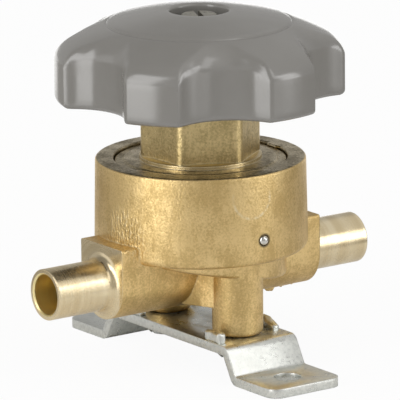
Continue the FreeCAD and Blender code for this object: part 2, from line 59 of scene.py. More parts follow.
def treeOf(*values):
    return next(value.socket.id_data for value in values if isinstance(value, Field))


def feed(socket, value):
    if isinstance(value, Field):
        socket.id_data.links.new(value.socket, socket)
    elif value is not None:
        socket.default_value = value


def feedAll(node, values):
    for key, value in values.items():
        feed(node.inputs[key], value)
    return node


def put(tree, kind, values=None, **settings):
    # a new node with its settings, and its inputs fed by name or number
    node = tree.nodes.new(kind)
    for key, value in settings.items():
        setattr(node, key, value)
    return feedAll(node, values or {})


def out(node, key=0):
    return Field(node.outputs[key])


def calc(operation, *values, clamp=False):
    settings = {"operation": operation, "use_clamp": clamp}
    return out(put(treeOf(*values), "ShaderNodeMath", dict(enumerate(values)), **settings))


def wholeSum(a, b):
    return out(put(treeOf(a, b), "FunctionNodeIntegerMath", {0: a, 1: b}, operation="ADD"))


def vectorCalc(operation, a, b=None, scale=None):
    node = put(treeOf(a, b), "ShaderNodeVectorMath", {0: a, 1: b, 3: scale}, operation=operation)
    return out(node, "Value" if operation in ("LENGTH", "DISTANCE", "DOT_PRODUCT") else "Vector")


def remap(value, low, high, newLow=0.0, newHigh=1.0):
    return out(put(treeOf(value), "ShaderNodeMapRange", {
        "Value": value, "From Min": low, "From Max": high, "To Min": newLow, "To Max": newHigh},
        interpolation_type="SMOOTHSTEP"))


def blend(factor, first, second):
    return out(put(treeOf(factor), "ShaderNodeMix", {0: factor, 6: first, 7: second}, data_type="RGBA"), 2)


def axisOf(point, axis):
    return out(put(treeOf(point), "ShaderNodeSeparateXYZ", {0: point}), axis)


def pointAt(tree, x, y, z):
    return out(put(tree, "ShaderNodeCombineXYZ", {0: x, 1: y, 2: z}))


def noise(place, size, detail=2.0, roughness=0.5, stretch=None):
    tree = treeOf(place)
    if stretch:
        place = out(put(tree, "ShaderNodeMapping", {"Vector": place, "Scale": stretch}))
    return out(put(tree, "ShaderNodeTexNoise", {
        "Vector": place, "Scale": 1 / mm / size, "Detail": detail, "Roughness": roughness}), "Fac")


def newGroup(kind, name, inputs, outputs):
    group = bpy.data.node_groups.new(name, kind)
    for title, socketType, value in inputs:
        socket = group.interface.new_socket(name=title, in_out="INPUT", socket_type=socketType)
        if value is not None:
            socket.default_value = value
    for title, socketType in outputs:
        group.interface.new_socket(name=title, in_out="OUTPUT", socket_type=socketType)
    have = {socket.name: Field(socket) for socket in put(group, "NodeGroupInput").outputs}
    return group, have, put(group, "NodeGroupOutput").inputs


def useGroup(tree, group, values):
    kind = "ShaderNodeGroup" if tree.bl_idname == "ShaderNodeTree" else "GeometryNodeGroup"
    node = feedAll(put(tree, kind, node_tree=group), values)
    return {socket.name: Field(socket) for socket in node.outputs}


number, vector = "NodeSocketFloat", "NodeSocketVector"
whole, shape = "NodeSocketInt", "NodeSocketGeometry"


# shader groups: each is built once and placed in the materials with its own values
def makeBlastedGrain():
    group, have, give = newGroup("ShaderNodeTree", "blastedGrain", [
        ("Place", vector, None), ("Grain Size", number, 0.3), ("Blotch Size", number, 6.0),
        ("Streak", number, 0.3)], [("Tone", number), ("Height", number)])
    place, size = have["Place"], have["Grain Size"]
    fine = noise(place, size, 3.0, 0.65)
    coarse = noise(place, size * 3.0)
    blotch = noise(place, have["Blotch Size"], 4.0)
    streak = (noise(place, size * 2.2, stretch=(1.0, 1.0, 0.2)) - 0.5) * have["Streak"]
    cells = put(group, "ShaderNodeTexVoronoi", {"Vector": place, "Scale": 700.0 / size})
    pits = remap(out(cells, "Distance"), 0.1, 0.6)
    tone = fine * 0.5 + blotch * 0.5
    feed(give["Tone"], calc("ADD", tone, streak, clamp=True))
    feed(give["Height"], fine * 0.5 + coarse * 0.4 + pits * 0.15 + streak)
    return group


def makeEdgeWear():
    group, have, give = newGroup("ShaderNodeTree", "edgeWear", [
        ("Place", vector, None), ("Width", number, 0.4), ("Breakup", number, 1.5)],
        [("Edge", number), ("Normal", vector)])
    softened = out(put(group, "ShaderNodeBevel", {"Radius": have["Width"] * mm}, samples=4))
    flat = out(put(group, "ShaderNodeNewGeometry"), "Normal")
    away = 1.0 - vectorCalc("DOT_PRODUCT", softened, flat)  # nought on a flat, more on an edge
    patchy = remap(noise(have["Place"], have["Breakup"], 3.0), 0.35, 0.6, 0.35, 1.0)
    feed(give["Edge"], remap(away, 0.01, 0.12) * patchy)
    feed(give["Normal"], softened)
    return group


def makeToolLines():
    group, have, give = newGroup("ShaderNodeTree", "toolLines", [
        ("Along", number, None), ("Pitch", number, 0.2), ("Drift Size", number, 3.0)],
        [("Lines", number), ("Drift", number)])
    for title, size in (("Lines", have["Pitch"]), ("Drift", have["Drift Size"])):
        rings = put(group, "ShaderNodeTexNoise", noise_dimensions="1D")
        feedAll(rings, {"W": have["Along"] / mm / size, "Scale": 1.0, "Detail": 2.0})
        feed(give[title], out(rings, "Fac"))
    return group


def makeHandling():
    # faint smears, dust and finger marks, as on any part that has been handled
    group, have, give = newGroup("ShaderNodeTree", "handling", [
        ("Place", vector, None), ("Smear Size", number, 9.0), ("Speck Size", number, 0.8)],
        [("Smear", number), ("Specks", number)])
    smear = noise(have["Place"], have["Smear Size"], 5.0, 0.6, stretch=(1.0, 1.0, 1.8))
    feed(give["Smear"], remap(smear, 0.38, 0.66))
    specks = noise(have["Place"], have["Speck Size"], 1.0)
    feed(give["Specks"], remap(specks, 0.66, 0.76))
    return group


blastedGrain, edgeWear = makeBlastedGrain(), makeEdgeWear()
toolLines, handling = makeToolLines(), makeHandling()
print("shader groups ready")


# materials
def newMaterial(name):
    material = bpy.data.materials.new(name)
    material.use_nodes = True
    place = out(put(material.node_tree, "ShaderNodeTexCoord"), "Object")
    return material, material.node_tree, place


def dress(material, values):
    feedAll(material.node_tree.nodes["Principled BSDF"], values)
    return material


def bump(height, strength, distance, normal=None):
    return out(put(treeOf(height), "ShaderNodeBump", {
        "Strength": strength, "Distance": distance * mm, "Height": height, "Normal": normal}))


def radiusFrom(place, first, second):
    a, b = axisOf(place, first), axisOf(place, second)
    return calc("SQRT", a * a + b * b)


forgedLook = {"light": (0.90, 0.67, 0.32, 1), "dark": (0.63, 0.45, 0.19, 1), "edge": (1.0, 0.84, 0.52, 1),
              "grain": 0.5, "blotch": 7.0, "streak": 0.16, "roughness": (0.34, 0.50), "bump": 1.05}
turnedLook = {"light": (0.93, 0.80, 0.55, 1), "dark": (0.80, 0.66, 0.42, 1), "pitch": 0.16,
              "roughness": (0.17, 0.25), "bump": 0.08}
rimLook = {"light": (1.0, 0.86, 0.52, 1), "dark": (0.76, 0.62, 0.36, 1), "pitch": 0.3,
           "roughness": (0.24, 0.36), "bump": 0.12}
plateLook = {"light": (0.72, 0.615, 0.41, 1), "dark": (0.30, 0.24, 0.13, 1), "edge": (0.95, 0.85, 0.62, 1),
             "grain": 0.62, "blotch": 4.0, "streak": 0.0, "roughness": (0.24, 0.44), "bump": 1.3}
# brass of the bores, painted lighter than the outer turning: painted light that brightens the dim bore
boreLook = {"light": (1.0, 0.87, 0.46, 1), "dark": (0.94, 0.76, 0.36, 1), "pitch": 0.25,
            "roughness": (0.32, 0.46), "bump": 0.2}
hexLook = {"light": (0.86, 0.68, 0.35, 1), "dark": (0.54, 0.42, 0.20, 1), "edge": (1.0, 0.90, 0.62, 1),
           "grain": 0.55, "blotch": 6.0, "streak": 0.2, "roughness": (0.27, 0.42), "bump": 1.2}
zincLook = {"light": (0.80, 0.81, 0.77, 1), "dark": (0.69, 0.705, 0.67, 1), "speck": (0.36, 0.36, 0.33, 1),
            "edge": (0.95, 0.95, 0.92, 1), "roughness": (0.24, 0.35), "mottle": 0.9, "bump": 0.08}
wheelLook = {"body": (0.212, 0.205, 0.192, 1), "dull": (0.196, 0.189, 0.175, 1),
             "edge": (0.27, 0.26, 0.245, 1), "roughness": (0.12, 0.18), "grain": 0.5}


def distanceFrom(place, spot):
    return vectorCalc("DISTANCE", place, Vector(spot) * mm) / mm


def addSpots(place, look, spots, tone, height):
    x, y, level = [axisOf(place, axis) / mm for axis in range(3)]
    # dark ring round the ball, darkest next to it and fading outwards
    darkRing, bare = (0.06, 0.045, 0.03, 1), (1.0, 0.93, 0.72, 1)
    ring = remap(distanceFrom(place, spots["ball"]), *spots["ball ring"], 0.85, 0.0)
    tone = blend(ring, tone, darkRing)
    # round scuff above the ball, worn away at its top
    band = abs(distanceFrom(place, spots["scuff"]) - spots["scuff radius"])
    band = calc("SUBTRACT", 1.0, band * 2.2, clamp=True)
    lower = remap(level, spots["scuff"][2] - 1, spots["scuff"][2] + 2, 1.0, 0.0)
    broken = remap(noise(place, 1.1), 0.4, 0.6, 0.2, 1.0)
    tone = blend(band * lower * broken * 0.5, tone, bare)
    # patch over one boss where the skin of the forging is lumpy and drawn downwards
    patch = remap(distanceFrom(place, spots["lumpy"]), *spots["lumpy reach"], 1.0, 0.0)
    drawn = noise(place, 0.6, stretch=(1.0, 1.0, 0.42))
    height = drawn * patch * 3.4 + height
    tone = blend(remap(drawn, 0.5, 0.68) * (patch * 0.5), tone, look["edge"])
    # painted shade: the web between the posts is darkened towards its bottom
    paintedShade = remap(abs(x), *spots["soot width"], 1.0, 0.0) * remap(level, *spots["soot level"], 1.0, 0.0)
    paintedShade = paintedShade * remap(abs(y), *spots["soot depth"], 1.0, 0.0)
    return blend(paintedShade * 0.75, tone, spots["paintedShade"]), height


def forgedBrass(name="forgedBrass", look=forgedLook, spots=None):
    # blasted skin of a forging, blotchy and rubbed bright on its edges
    material, tree, place = newMaterial(name)
    grain = useGroup(tree, blastedGrain, {"Place": place, "Grain Size": look["grain"],
                                          "Blotch Size": look["blotch"], "Streak": look["streak"]})
    wear = useGroup(tree, edgeWear, {"Place": place, "Width": 0.5, "Breakup": 1.2})
    marks = useGroup(tree, handling, {"Place": place, "Smear Size": 11.0})
    smeared, worn, depth = 0.25, 0.55, 0.12
    tone = blend(remap(grain["Tone"], 0.38, 0.6), look["dark"], look["light"])
    tone = blend(marks["Smear"] * smeared, tone, look["dark"])
    tone = blend(wear["Edge"] * worn, tone, look["edge"])
    height = grain["Height"]
    if spots:
        tone, height = addSpots(place, look, spots, tone, height)
    rough = remap(grain["Tone"], 0.3, 0.7, look["roughness"][1], look["roughness"][0])
    return dress(material, {"Base Color": tone, "Metallic": 1.0, "Roughness": rough,
                            "Normal": bump(height, look["bump"], depth, wear["Normal"])})


def turnedBrass(name, look, along, streaks=0.5):
    # along gives the way that the tool moved: "x" on a stub, "face" on its end faces, "radius" on a flat top
    material, tree, place = newMaterial(name)
    if along == "face":
        way = radiusFrom(vectorCalc("SUBTRACT", place, (0, 0, portHeight * mm)), 1, 2)
    elif along == "radius":
        way = radiusFrom(place, 0, 1)
    else:
        way = axisOf(place, "xyz".index(along))
    cut = useGroup(tree, toolLines, {"Along": way, "Pitch": look["pitch"], "Drift Size": 2.6})
    wear = useGroup(tree, edgeWear, {"Place": place, "Width": 0.25, "Breakup": 0.9})
    marks = useGroup(tree, handling, {"Place": place, "Smear Size": 7.0})
    tone = blend(remap(cut["Drift"], 0.3, 0.7), look["dark"], look["light"])
    tone = blend(marks["Smear"] * streaks, tone, look["dark"])
    worn, bare, dulled, depth = 0.4, (1.0, 0.9, 0.7, 1), 0.08, 0.04
    tone = blend(wear["Edge"] * worn, tone, bare)
    rough = remap(cut["Lines"], 0.3, 0.7, *look["roughness"]) + marks["Smear"] * dulled
    return dress(material, {"Base Color": tone, "Metallic": 1.0, "Roughness": rough,
                            "Normal": bump(cut["Lines"], look["bump"], depth, wear["Normal"])})


def zincSteel(look=zincLook):
    # mottled zinc plating with dark specks
    material, tree, place = newMaterial("zincSteel")
    mottle = noise(place, look["mottle"], 5.0, 0.62)
    fine = noise(place, 0.35, 3.0, 0.6)
    wear = useGroup(tree, edgeWear, {"Place": place, "Width": 0.35, "Breakup": 0.8})
    marks = useGroup(tree, handling, {"Place": place, "Smear Size": 6.0, "Speck Size": 0.6})
    tone = blend(remap(mottle, 0.36, 0.62), look["dark"], look["light"])
    specked, worn, dulled, depth = 0.3, 0.5, 0.1, 0.1
    tone = blend(marks["Specks"] * specked, tone, look["speck"])
    tone = blend(wear["Edge"] * worn, tone, look["edge"])
    rough = remap(mottle, 0.3, 0.7, *look["roughness"]) + marks["Smear"] * dulled
    return dress(material, {"Base Color": tone, "Metallic": 1.0, "Roughness": rough,
                            "Normal": bump(mottle + fine * 0.35, look["bump"], depth, wear["Normal"])})


def wheelPlastic(look=wheelLook):
    # fine moulded skin with a faint flow of the plastic in it
    material, tree, place = newMaterial("wheelPlastic")
    wear = useGroup(tree, edgeWear, {"Place": place, "Width": 0.35, "Breakup": 2.5})
    marks = useGroup(tree, handling, {"Place": place, "Smear Size": 16.0})
    skin, flow = noise(place, look["grain"], 3.0), noise(place, 22.0, 3.0)
    tone = blend(remap(flow, 0.35, 0.65), look["body"], look["dull"])
    worn, dulled, strength, depth = 0.35, 0.06, 0.05, 0.03
    tone = blend(wear["Edge"] * worn, tone, look["edge"])
    rough = remap(skin, 0.3, 0.7, *look["roughness"]) + marks["Smear"] * dulled
    return dress(material, {"Base Color": tone, "Roughness": rough, "IOR": 1.8,
                            "Normal": bump(skin, strength, depth, wear["Normal"])})


plainLooks = {  # light and dark colour, metallic, roughness, size of the clouds, depth of the grain
    "polishedSteel": ((0.88, 0.87, 0.84, 1), (0.70, 0.68, 0.64, 1), 1.0, (0.05, 0.1), 0.8, 0.01),
    "dullZinc": ((0.56, 0.54, 0.47, 1), (0.34, 0.32, 0.27, 1), 1.0, (0.26, 0.42), 1.2, 0.02),
    "rubber": ((0.035, 0.035, 0.035, 1), (0.02, 0.02, 0.02, 1), 0.0, (0.5, 0.7), 1.5, 0.05),
    "springSteel": ((0.50, 0.48, 0.45, 1), (0.34, 0.32, 0.30, 1), 1.0, (0.2, 0.34), 1.0, 0.02),
    "seatPlastic": ((0.80, 0.79, 0.74, 1), (0.72, 0.70, 0.64, 1), 0.0, (0.35, 0.5), 3.0, 0.05),
}


def plainFinish(name):
    # small pieces: one colour that clouds and smears change a little
    light, dark, metallic, roughness, size, depth = plainLooks[name]
    material, tree, place = newMaterial(name)
    cloud = noise(place, size, 4.0, 0.6)
    marks = useGroup(tree, handling, {"Place": place, "Smear Size": size * 3})
    tone = blend(marks["Smear"] * 0.3, blend(remap(cloud, 0.35, 0.65), dark, light), dark)
    rough = remap(cloud, 0.3, 0.7, *roughness)
    return dress(material, {"Base Color": tone, "Metallic": metallic, "Roughness": rough,
                            "Normal": bump(noise(place, size / 8), 0.2, depth)})


# levels and sizes that several pieces share, in millimetres
portHeight, bowlBase, bowlTop = 22.2, 27.3, 49.1
flangeTop, hexBase, hexTop, neckTop = 48.4, 49.95, 64.85, 66.45
wheelBase, hubBase, hubFloor = 63.45, 68.4, 78.9
stripTop, stripBase, postOffset = 8.7, 6.5, 14.4
scene = bpy.context.scene


# mesh helpers, all in millimetres
def objectFrom(name, points, faces):
    mesh = bpy.data.meshes.new(name)
    mesh.from_pydata([Vector(point) * mm for point in points], [], faces)
    piece = bpy.data.objects.new(name, mesh)
    scene.collection.objects.link(piece)
    return piece


def tidyMesh(piece, angle=30.0):
    merge = 0.001
    form = bmesh.new()
    form.from_mesh(piece.data)
    bmesh.ops.remove_doubles(form, verts=form.verts, dist=merge * mm)
    bmesh.ops.dissolve_degenerate(form, edges=form.edges, dist=merge * mm)
    bmesh.ops.recalc_face_normals(form, faces=form.faces)
    form.to_mesh(piece.data)
    form.free()
    for face in piece.data.polygons:
        face.use_smooth = True
    piece.data.set_sharp_from_angle(angle=math.radians(angle))
    return piece


def bake(piece):
    depsgraph = bpy.context.evaluated_depsgraph_get()
    mesh = bpy.data.meshes.new_from_object(piece.evaluated_get(depsgraph))
    piece.modifiers.clear()
    piece.data = mesh
    return piece


def combine(piece, operation, others):
    gather = bpy.data.collections.new("operands")
    for other in others:
        gather.objects.link(other)
    cut = piece.modifiers.new("combine", "BOOLEAN")
    cut.operation, cut.solver, cut.operand_type, cut.collection = operation, "EXACT", "COLLECTION", gather
    bake(piece)
    for other in others:
        bpy.data.objects.remove(other)
    bpy.data.collections.remove(gather)
    return piece


def arc(a, b, size, start, finish, steps):
    turns = [math.radians(start + (finish - start) * k / steps) for k in range(steps + 1)]
    return [(a + size * math.cos(turn), b + size * math.sin(turn)) for turn in turns]


def rounded(corners, steps=5):
    # closed outline of (a, b) or (a, b, radius) corners, with the corners that have a radius rounded
    outline = []
    for index, corner in enumerate(corners):
        here = Vector(corner[:2])
        size = corner[2] if len(corner) > 2 else 0
        if not size:
            outline.append(tuple(here))
            continue
        before = (Vector(corners[index - 1][:2]) - here).normalized()
        after = (Vector(corners[(index + 1) % len(corners)][:2]) - here).normalized()
        half = before.angle(after) / 2
        middle = here + (before + after).normalized() * size / math.sin(half)
        first = here + before * size / math.tan(half) - middle
        last = here + after * size / math.tan(half) - middle
        start = math.atan2(first.y, first.x)
        turn = (math.atan2(last.y, last.x) - start + math.pi) % math.tau - math.pi
        outline += arc(middle.x, middle.y, size, math.degrees(start), math.degrees(start + turn), steps)
    return outline


def lathe(name, outline, segments, spin=None):
    # outline of (radius, height) points turned round the axis
    points, faces, count = [], [], len(outline)
    for step in range(segments):
        angle = math.tau * step / segments
        points += [(r * math.cos(angle), r * math.sin(angle), z) for r, z in outline]
        here, following = step * count, (step + 1) % segments * count
        for i in range(count):
            j = (i + 1) % count
            if outline[i][0] or outline[j][0]:
                faces.append((here + i, here + j, following + j, following + i))
    piece = objectFrom(name, points, faces)
    if spin:
        piece.data.transform(spin)
    return tidyMesh(piece)


def loft(name, first, last, low, high, place=lambda a, b, c: (a, b, c)):
    # block between two outlines of the same number of points
    count = len(first)
    points = [place(a, b, low) for a, b in first] + [place(a, b, high) for a, b in last]
    sides = [(i, (i + 1) % count, count + (i + 1) % count, count + i) for i in range(count)]
    faces = [tuple(range(count)), tuple(range(count, 2 * count))] + sides
    return tidyMesh(objectFrom(name, points, faces))


def movedBy(x, y, z=0.0):
    return Matrix.Translation(Vector((x, y, z)) * mm)


def alongX(side):
    # turns a lathe form so that its axis runs from the valve axis towards one port
    return Matrix.Translation((0, 0, portHeight * mm)) @ Matrix.Rotation(side * math.pi / 2, 4, "Y")


def drum(name, radius, low, high, spin=None, segments=96):
    return lathe(name, [(0, low), (radius, low), (radius, high), (0, high)], segments, spin)


def paint(piece, *materials):
    piece.data.materials.clear()
    for material in materials:
        piece.data.materials.append(material)


def mount(piece, body, finish, *replaced):
    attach(piece, body)
    if replaced:
        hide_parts(*replaced)
    return piece


def growPiece(name, tree, values):
    piece = objectFrom(name, [], [])
    grow = piece.modifiers.new("grow", "NODES")
    grow.node_group = tree
    for item in tree.interface.items_tree:
        if item.item_type == "SOCKET" and item.in_out == "INPUT" and item.name in values:
            grow[item.identifier] = values[item.name]
    return bake(piece)


def newForm(name, spec):
    # a geometry tree with an input for each size of the piece and one for its material
    sizes = [(title, whole if isinstance(value, int) else number, value) for title, value in spec.items()]
    return newGroup("GeometryNodeTree", name, sizes + [("Material", "NodeSocketMaterial", None)],
                    [("Geometry", shape)])


def gridPlace(tree):
    # the two ways along a grid, each from -0.5 to 0.5
    spot = out(put(tree, "GeometryNodeInputPosition"))
    return axisOf(spot, 0), axisOf(spot, 1)


def aroundAxis(radius, turn):
    return radius * calc("COSINE", turn), radius * calc("SINE", turn)


def moved(tree, geometry, x, y, z):
    place = pointAt(tree, x, y, z)
    return out(put(tree, "GeometryNodeSetPosition", {"Geometry": geometry, "Position": place}))


def bentGrid(tree, columns, rows, x, y, z):
    grid = put(tree, "GeometryNodeMeshGrid", {"Vertices X": wholeSum(columns, 1), "Vertices Y": rows + 1})
    return moved(tree, out(grid, "Mesh"), x, y, z)


def finishTree(tree, geometry, have, give, weld=False):
    if weld:
        geometry = out(put(tree, "GeometryNodeMergeByDistance", {"Geometry": geometry, "Distance": 0.002}))
    scaled = put(tree, "GeometryNodeTransform", {"Geometry": geometry, "Scale": (mm, mm, mm)})
    real = put(tree, "GeometryNodeRealizeInstances", {0: out(scaled)})
    painted = put(tree, "GeometryNodeSetMaterial", {"Geometry": out(real), "Material": have["Material"]})
    feed(give["Geometry"], out(painted))
    return tree


# handwheel: a moulded shell whose outline follows one rule, grown as bands round its axis
wheelSpec = {"Segments": 432, "Rim": 34.3, "Scallop Floor": 27.8, "Scallop Radius": 15.0, "Lobes": 6.0,
             "Lobe Angle": 34.8, "Softness": 1.2, "Wall": 3.0, "Recess": 6.9, "Hub": 8.6, "Rib": 2.0}


def domeThrough(first, second):
    # centre height on the axis, and radius, of the sphere through two points (radius, height)
    (a, low), (b, high) = first, second
    centre = (low ** 2 - high ** 2 + a ** 2 - b ** 2) / (2 * (low - high))
    return centre, math.hypot(a, low - centre)


ceiling = domeThrough((0, 81.7), (31.3, 71.7))
crown, disc = domeThrough((21.8, 81.55), (34.3, 75.8)), domeThrough((0, 84.7), (21.6, 81.74))


def makeLobeOutline():
    group, have, give = newGroup("GeometryNodeTree", "lobeOutline", [
        ("Turn", number, None), ("Rim", number, 34.5), ("Floor", number, 28.3), ("Hollow", number, 17.0),
        ("Lobes", number, 6.0), ("Phase", number, 0.6), ("Softness", number, 2.5)],
        [("Radius", number), ("Share", number)])
    turn = (have["Turn"] - have["Phase"]) * (have["Lobes"] / math.tau)
    half = abs(calc("FRACT", turn) - 0.5)
    away = half * (math.tau / have["Lobes"])
    reach = have["Floor"] + have["Hollow"]
    side = (reach * calc("SINE", away)) ** 2.0
    under = calc("MAXIMUM", have["Hollow"] ** 2.0 - side, 0.0)
    scallop = reach * calc("COSINE", away) - calc("SQRT", under)
    radius = calc("SMOOTH_MIN", scallop, have["Rim"], have["Softness"])
    feed(give["Radius"], radius)
    depth = (have["Rim"] - radius) / (have["Rim"] - have["Floor"])
    feed(give["Share"], remap(depth, 0.6, 1.0))
    return group


def makeDomeHeight():
    group, have, give = newGroup("GeometryNodeTree", "domeHeight", [
        ("Radius", number, 0.0), ("Centre", number, 0.0), ("Size", number, 1.0)], [("Height", number)])
    squares = have["Size"] ** 2.0 - have["Radius"] ** 2.0
    feed(give["Height"], have["Centre"] + calc("SQRT", squares))
    return group


def makeBezier():
    group, have, give = newGroup("GeometryNodeTree", "bezier", [
        ("Along", number, 0.0), ("Start", number, 0.0), ("Leave", number, 0.0), ("Arrive", number, 0.0),
        ("Finish", number, 1.0)], [("Value", number)])
    t, back = have["Along"], 1.0 - have["Along"]
    feed(give["Value"], have["Start"] * back ** 3.0 + have["Leave"] * (back ** 2.0 * t * 3.0)
         + have["Arrive"] * (t ** 2.0 * back * 3.0) + have["Finish"] * t ** 3.0)
    return group


def wheelTree():
    tree, have, give = newForm("lobedWheel", wheelSpec)
    outlineGroup, domeGroup, bezierGroup = makeLobeOutline(), makeDomeHeight(), makeBezier()
    across, along = gridPlace(tree)
    turn, along = (across + 0.5) * math.tau, along + 0.5
    phase = calc("RADIANS", have["Lobe Angle"])

    def outline(inset):
        return useGroup(tree, outlineGroup, {
            "Turn": turn, "Rim": have["Rim"] - inset, "Floor": have["Scallop Floor"] - inset,
            "Hollow": have["Scallop Radius"] + inset, "Lobes": have["Lobes"], "Phase": phase,
            "Softness": have["Softness"]})

    def dome(radius, centre, size):
        return useGroup(tree, domeGroup, {"Radius": radius, "Centre": centre, "Size": size})["Height"]

    def between(start, finish):
        return along * (finish - start) + start

    def bend(start, leave, arrive, finish):
        return useGroup(tree, bezierGroup, {"Along": along, "Start": start, "Leave": leave,
                                            "Arrive": arrive, "Finish": finish})["Value"]

    outer, inner = outline(0.0), outline(have["Wall"])["Radius"]
    rim, share = outer["Radius"], outer["Share"]
    back = share * 1.9 + 3.4  # how far the round shoulder reaches inwards
    down = share * 1.3 + 2.7  # and how far down the side
    top = rim - back
    crownEdge, topEdge = dome(rim, *crown), dome(top, *crown)
    shoulder = crownEdge - down
    lip, recess, step, foot, halfSquare, handle = 0.7, have["Recess"], 21.6, 1.3, 3.56, 0.45
    brim = recess + lip
    brimHeight = dome(brim, *disc)
    groove, grooveEnd = step + 0.35, step + 0.8  # a fine groove runs round the raised disc
    grooveFloor = dome(groove, *crown) - 0.2
    square = halfSquare / calc("MAXIMUM", abs(calc("COSINE", turn)), abs(calc("SINE", turn)))
    bands = [  # rows of faces, radius and height of each band, from the lower rim over the top and back
        (8, rim, between(wheelBase + foot, shoulder)),
        (14, bend(rim, rim, rim - back * handle, top),
         bend(shoulder, crownEdge - down * handle, topEdge + (crownEdge - topEdge) * 0.55, topEdge)),
        (14, between(top, grooveEnd), dome(between(top, grooveEnd), *crown)),
        (3, between(grooveEnd, groove), between(dome(grooveEnd, *crown), grooveFloor)),
        (3, between(groove, step), between(grooveFloor, dome(step, *disc))),
        (12, between(step, brim), dome(between(step, brim), *disc)),
        (5, bend(brim, brim - 0.55 * lip, recess, recess),
         bend(brimHeight, brimHeight, brimHeight - lip * handle, brimHeight - lip)),
        (4, recess, between(brimHeight - lip, hubFloor)),
        (3, between(recess, square), hubFloor),
        (6, square, between(hubFloor, hubBase)),
        (3, between(square, have["Hub"]), hubBase),
        (4, have["Hub"], between(hubBase, dome(have["Hub"], *ceiling))),
        (12, between(have["Hub"], inner), dome(between(have["Hub"], inner), *ceiling)),
        (5, inner, between(dome(inner, *ceiling), wheelBase)),
        (2, between(inner, rim - foot), wheelBase),
        (5, bend(rim - foot, rim - foot * handle, rim, rim),
         bend(wheelBase, wheelBase, wheelBase + foot * handle, wheelBase + foot)),
    ]
    shell = put(tree, "GeometryNodeJoinGeometry")
    for rows, radius, height in bands:
        band = bentGrid(tree, have["Segments"], rows, *aroundAxis(radius, turn), height)
        feed(shell.inputs[0], band)
    feed(shell.inputs[0], wheelRibs(tree, have, phase, dome))
    return finishTree(tree, out(shell), have, give, weld=True)


def wheelRibs(tree, have, phase, dome):
    # one rib fitted under the ceiling, and a copy of it for each lobe
    block = put(tree, "GeometryNodeMeshCube", {"Vertices X": 24, "Vertices Y": 2, "Vertices Z": 3})
    spot = out(put(tree, "GeometryNodeInputPosition"))
    ribStart, ribLength, ribBase, sunk = 8.2, 23.6, 71.45, 0.3
    reach = (axisOf(spot, 0) + 0.5) * ribLength + ribStart
    height = (axisOf(spot, 2) + 0.5) * (dome(reach, *ceiling) + sunk - ribBase) + ribBase
    rib = moved(tree, out(block, "Mesh"), reach, axisOf(spot, 1) * have["Rib"], height)
    line = put(tree, "GeometryNodeMeshLine", {"Count": calc("ROUND", have["Lobes"]), "Offset": (0, 0, 0)})
    index = out(put(tree, "GeometryNodeInputIndex"))
    angle = index * (math.tau / have["Lobes"]) + phase
    copies = put(tree, "GeometryNodeInstanceOnPoints", {
        "Points": out(line), "Instance": rib, "Rotation": pointAt(tree, 0, 0, angle)})
    return out(put(tree, "GeometryNodeRealizeInstances", {0: out(copies)}))


plastic = wheelPlastic()
wheel = growPiece("handwheelShell", wheelTree(), {**wheelSpec, "Material": plastic})
tidyMesh(wheel, 38)
mount(wheel, "wheel", "wheel_plastic", "handwheel")
print("handwheel grown:", len(wheel.data.polygons), "faces")


# forged body: blanks joined and bored, then its faces painted by place
bodySpec = {"bowl": 25.4, "bowl top": 25.0, "chamber": 20.2, "slope": 10, "boss": 8.4, "boss end": 28.9,
            "post": 6.05, "stub": 6.1, "stub end": 45.1, "bore": 3.9, "socket": 4.8, "riser": 4.3,
            "thread": 2.5, "ball": 1.3}
ballSpot = (0, -24.7, 33.3)
# spots painted on the body; the last four entries give the colour and reach of painted shade low on the web
# between the posts
bodySpots = {"ball": (0, -25.2, 33.3), "ball ring": (1.35, 1.95), "scuff": (-3.1, -25.0, 43.9),
             "scuff radius": 4.9, "lumpy": (-25.0, -3.5, 33.5), "lumpy reach": (4.0, 9.0),
             "paintedShade": (0.34, 0.24, 0.09, 1), "soot width": (9.5, 11.0), "soot depth": (9.0, 10.5),
             "soot level": (15.5, 22.5)}


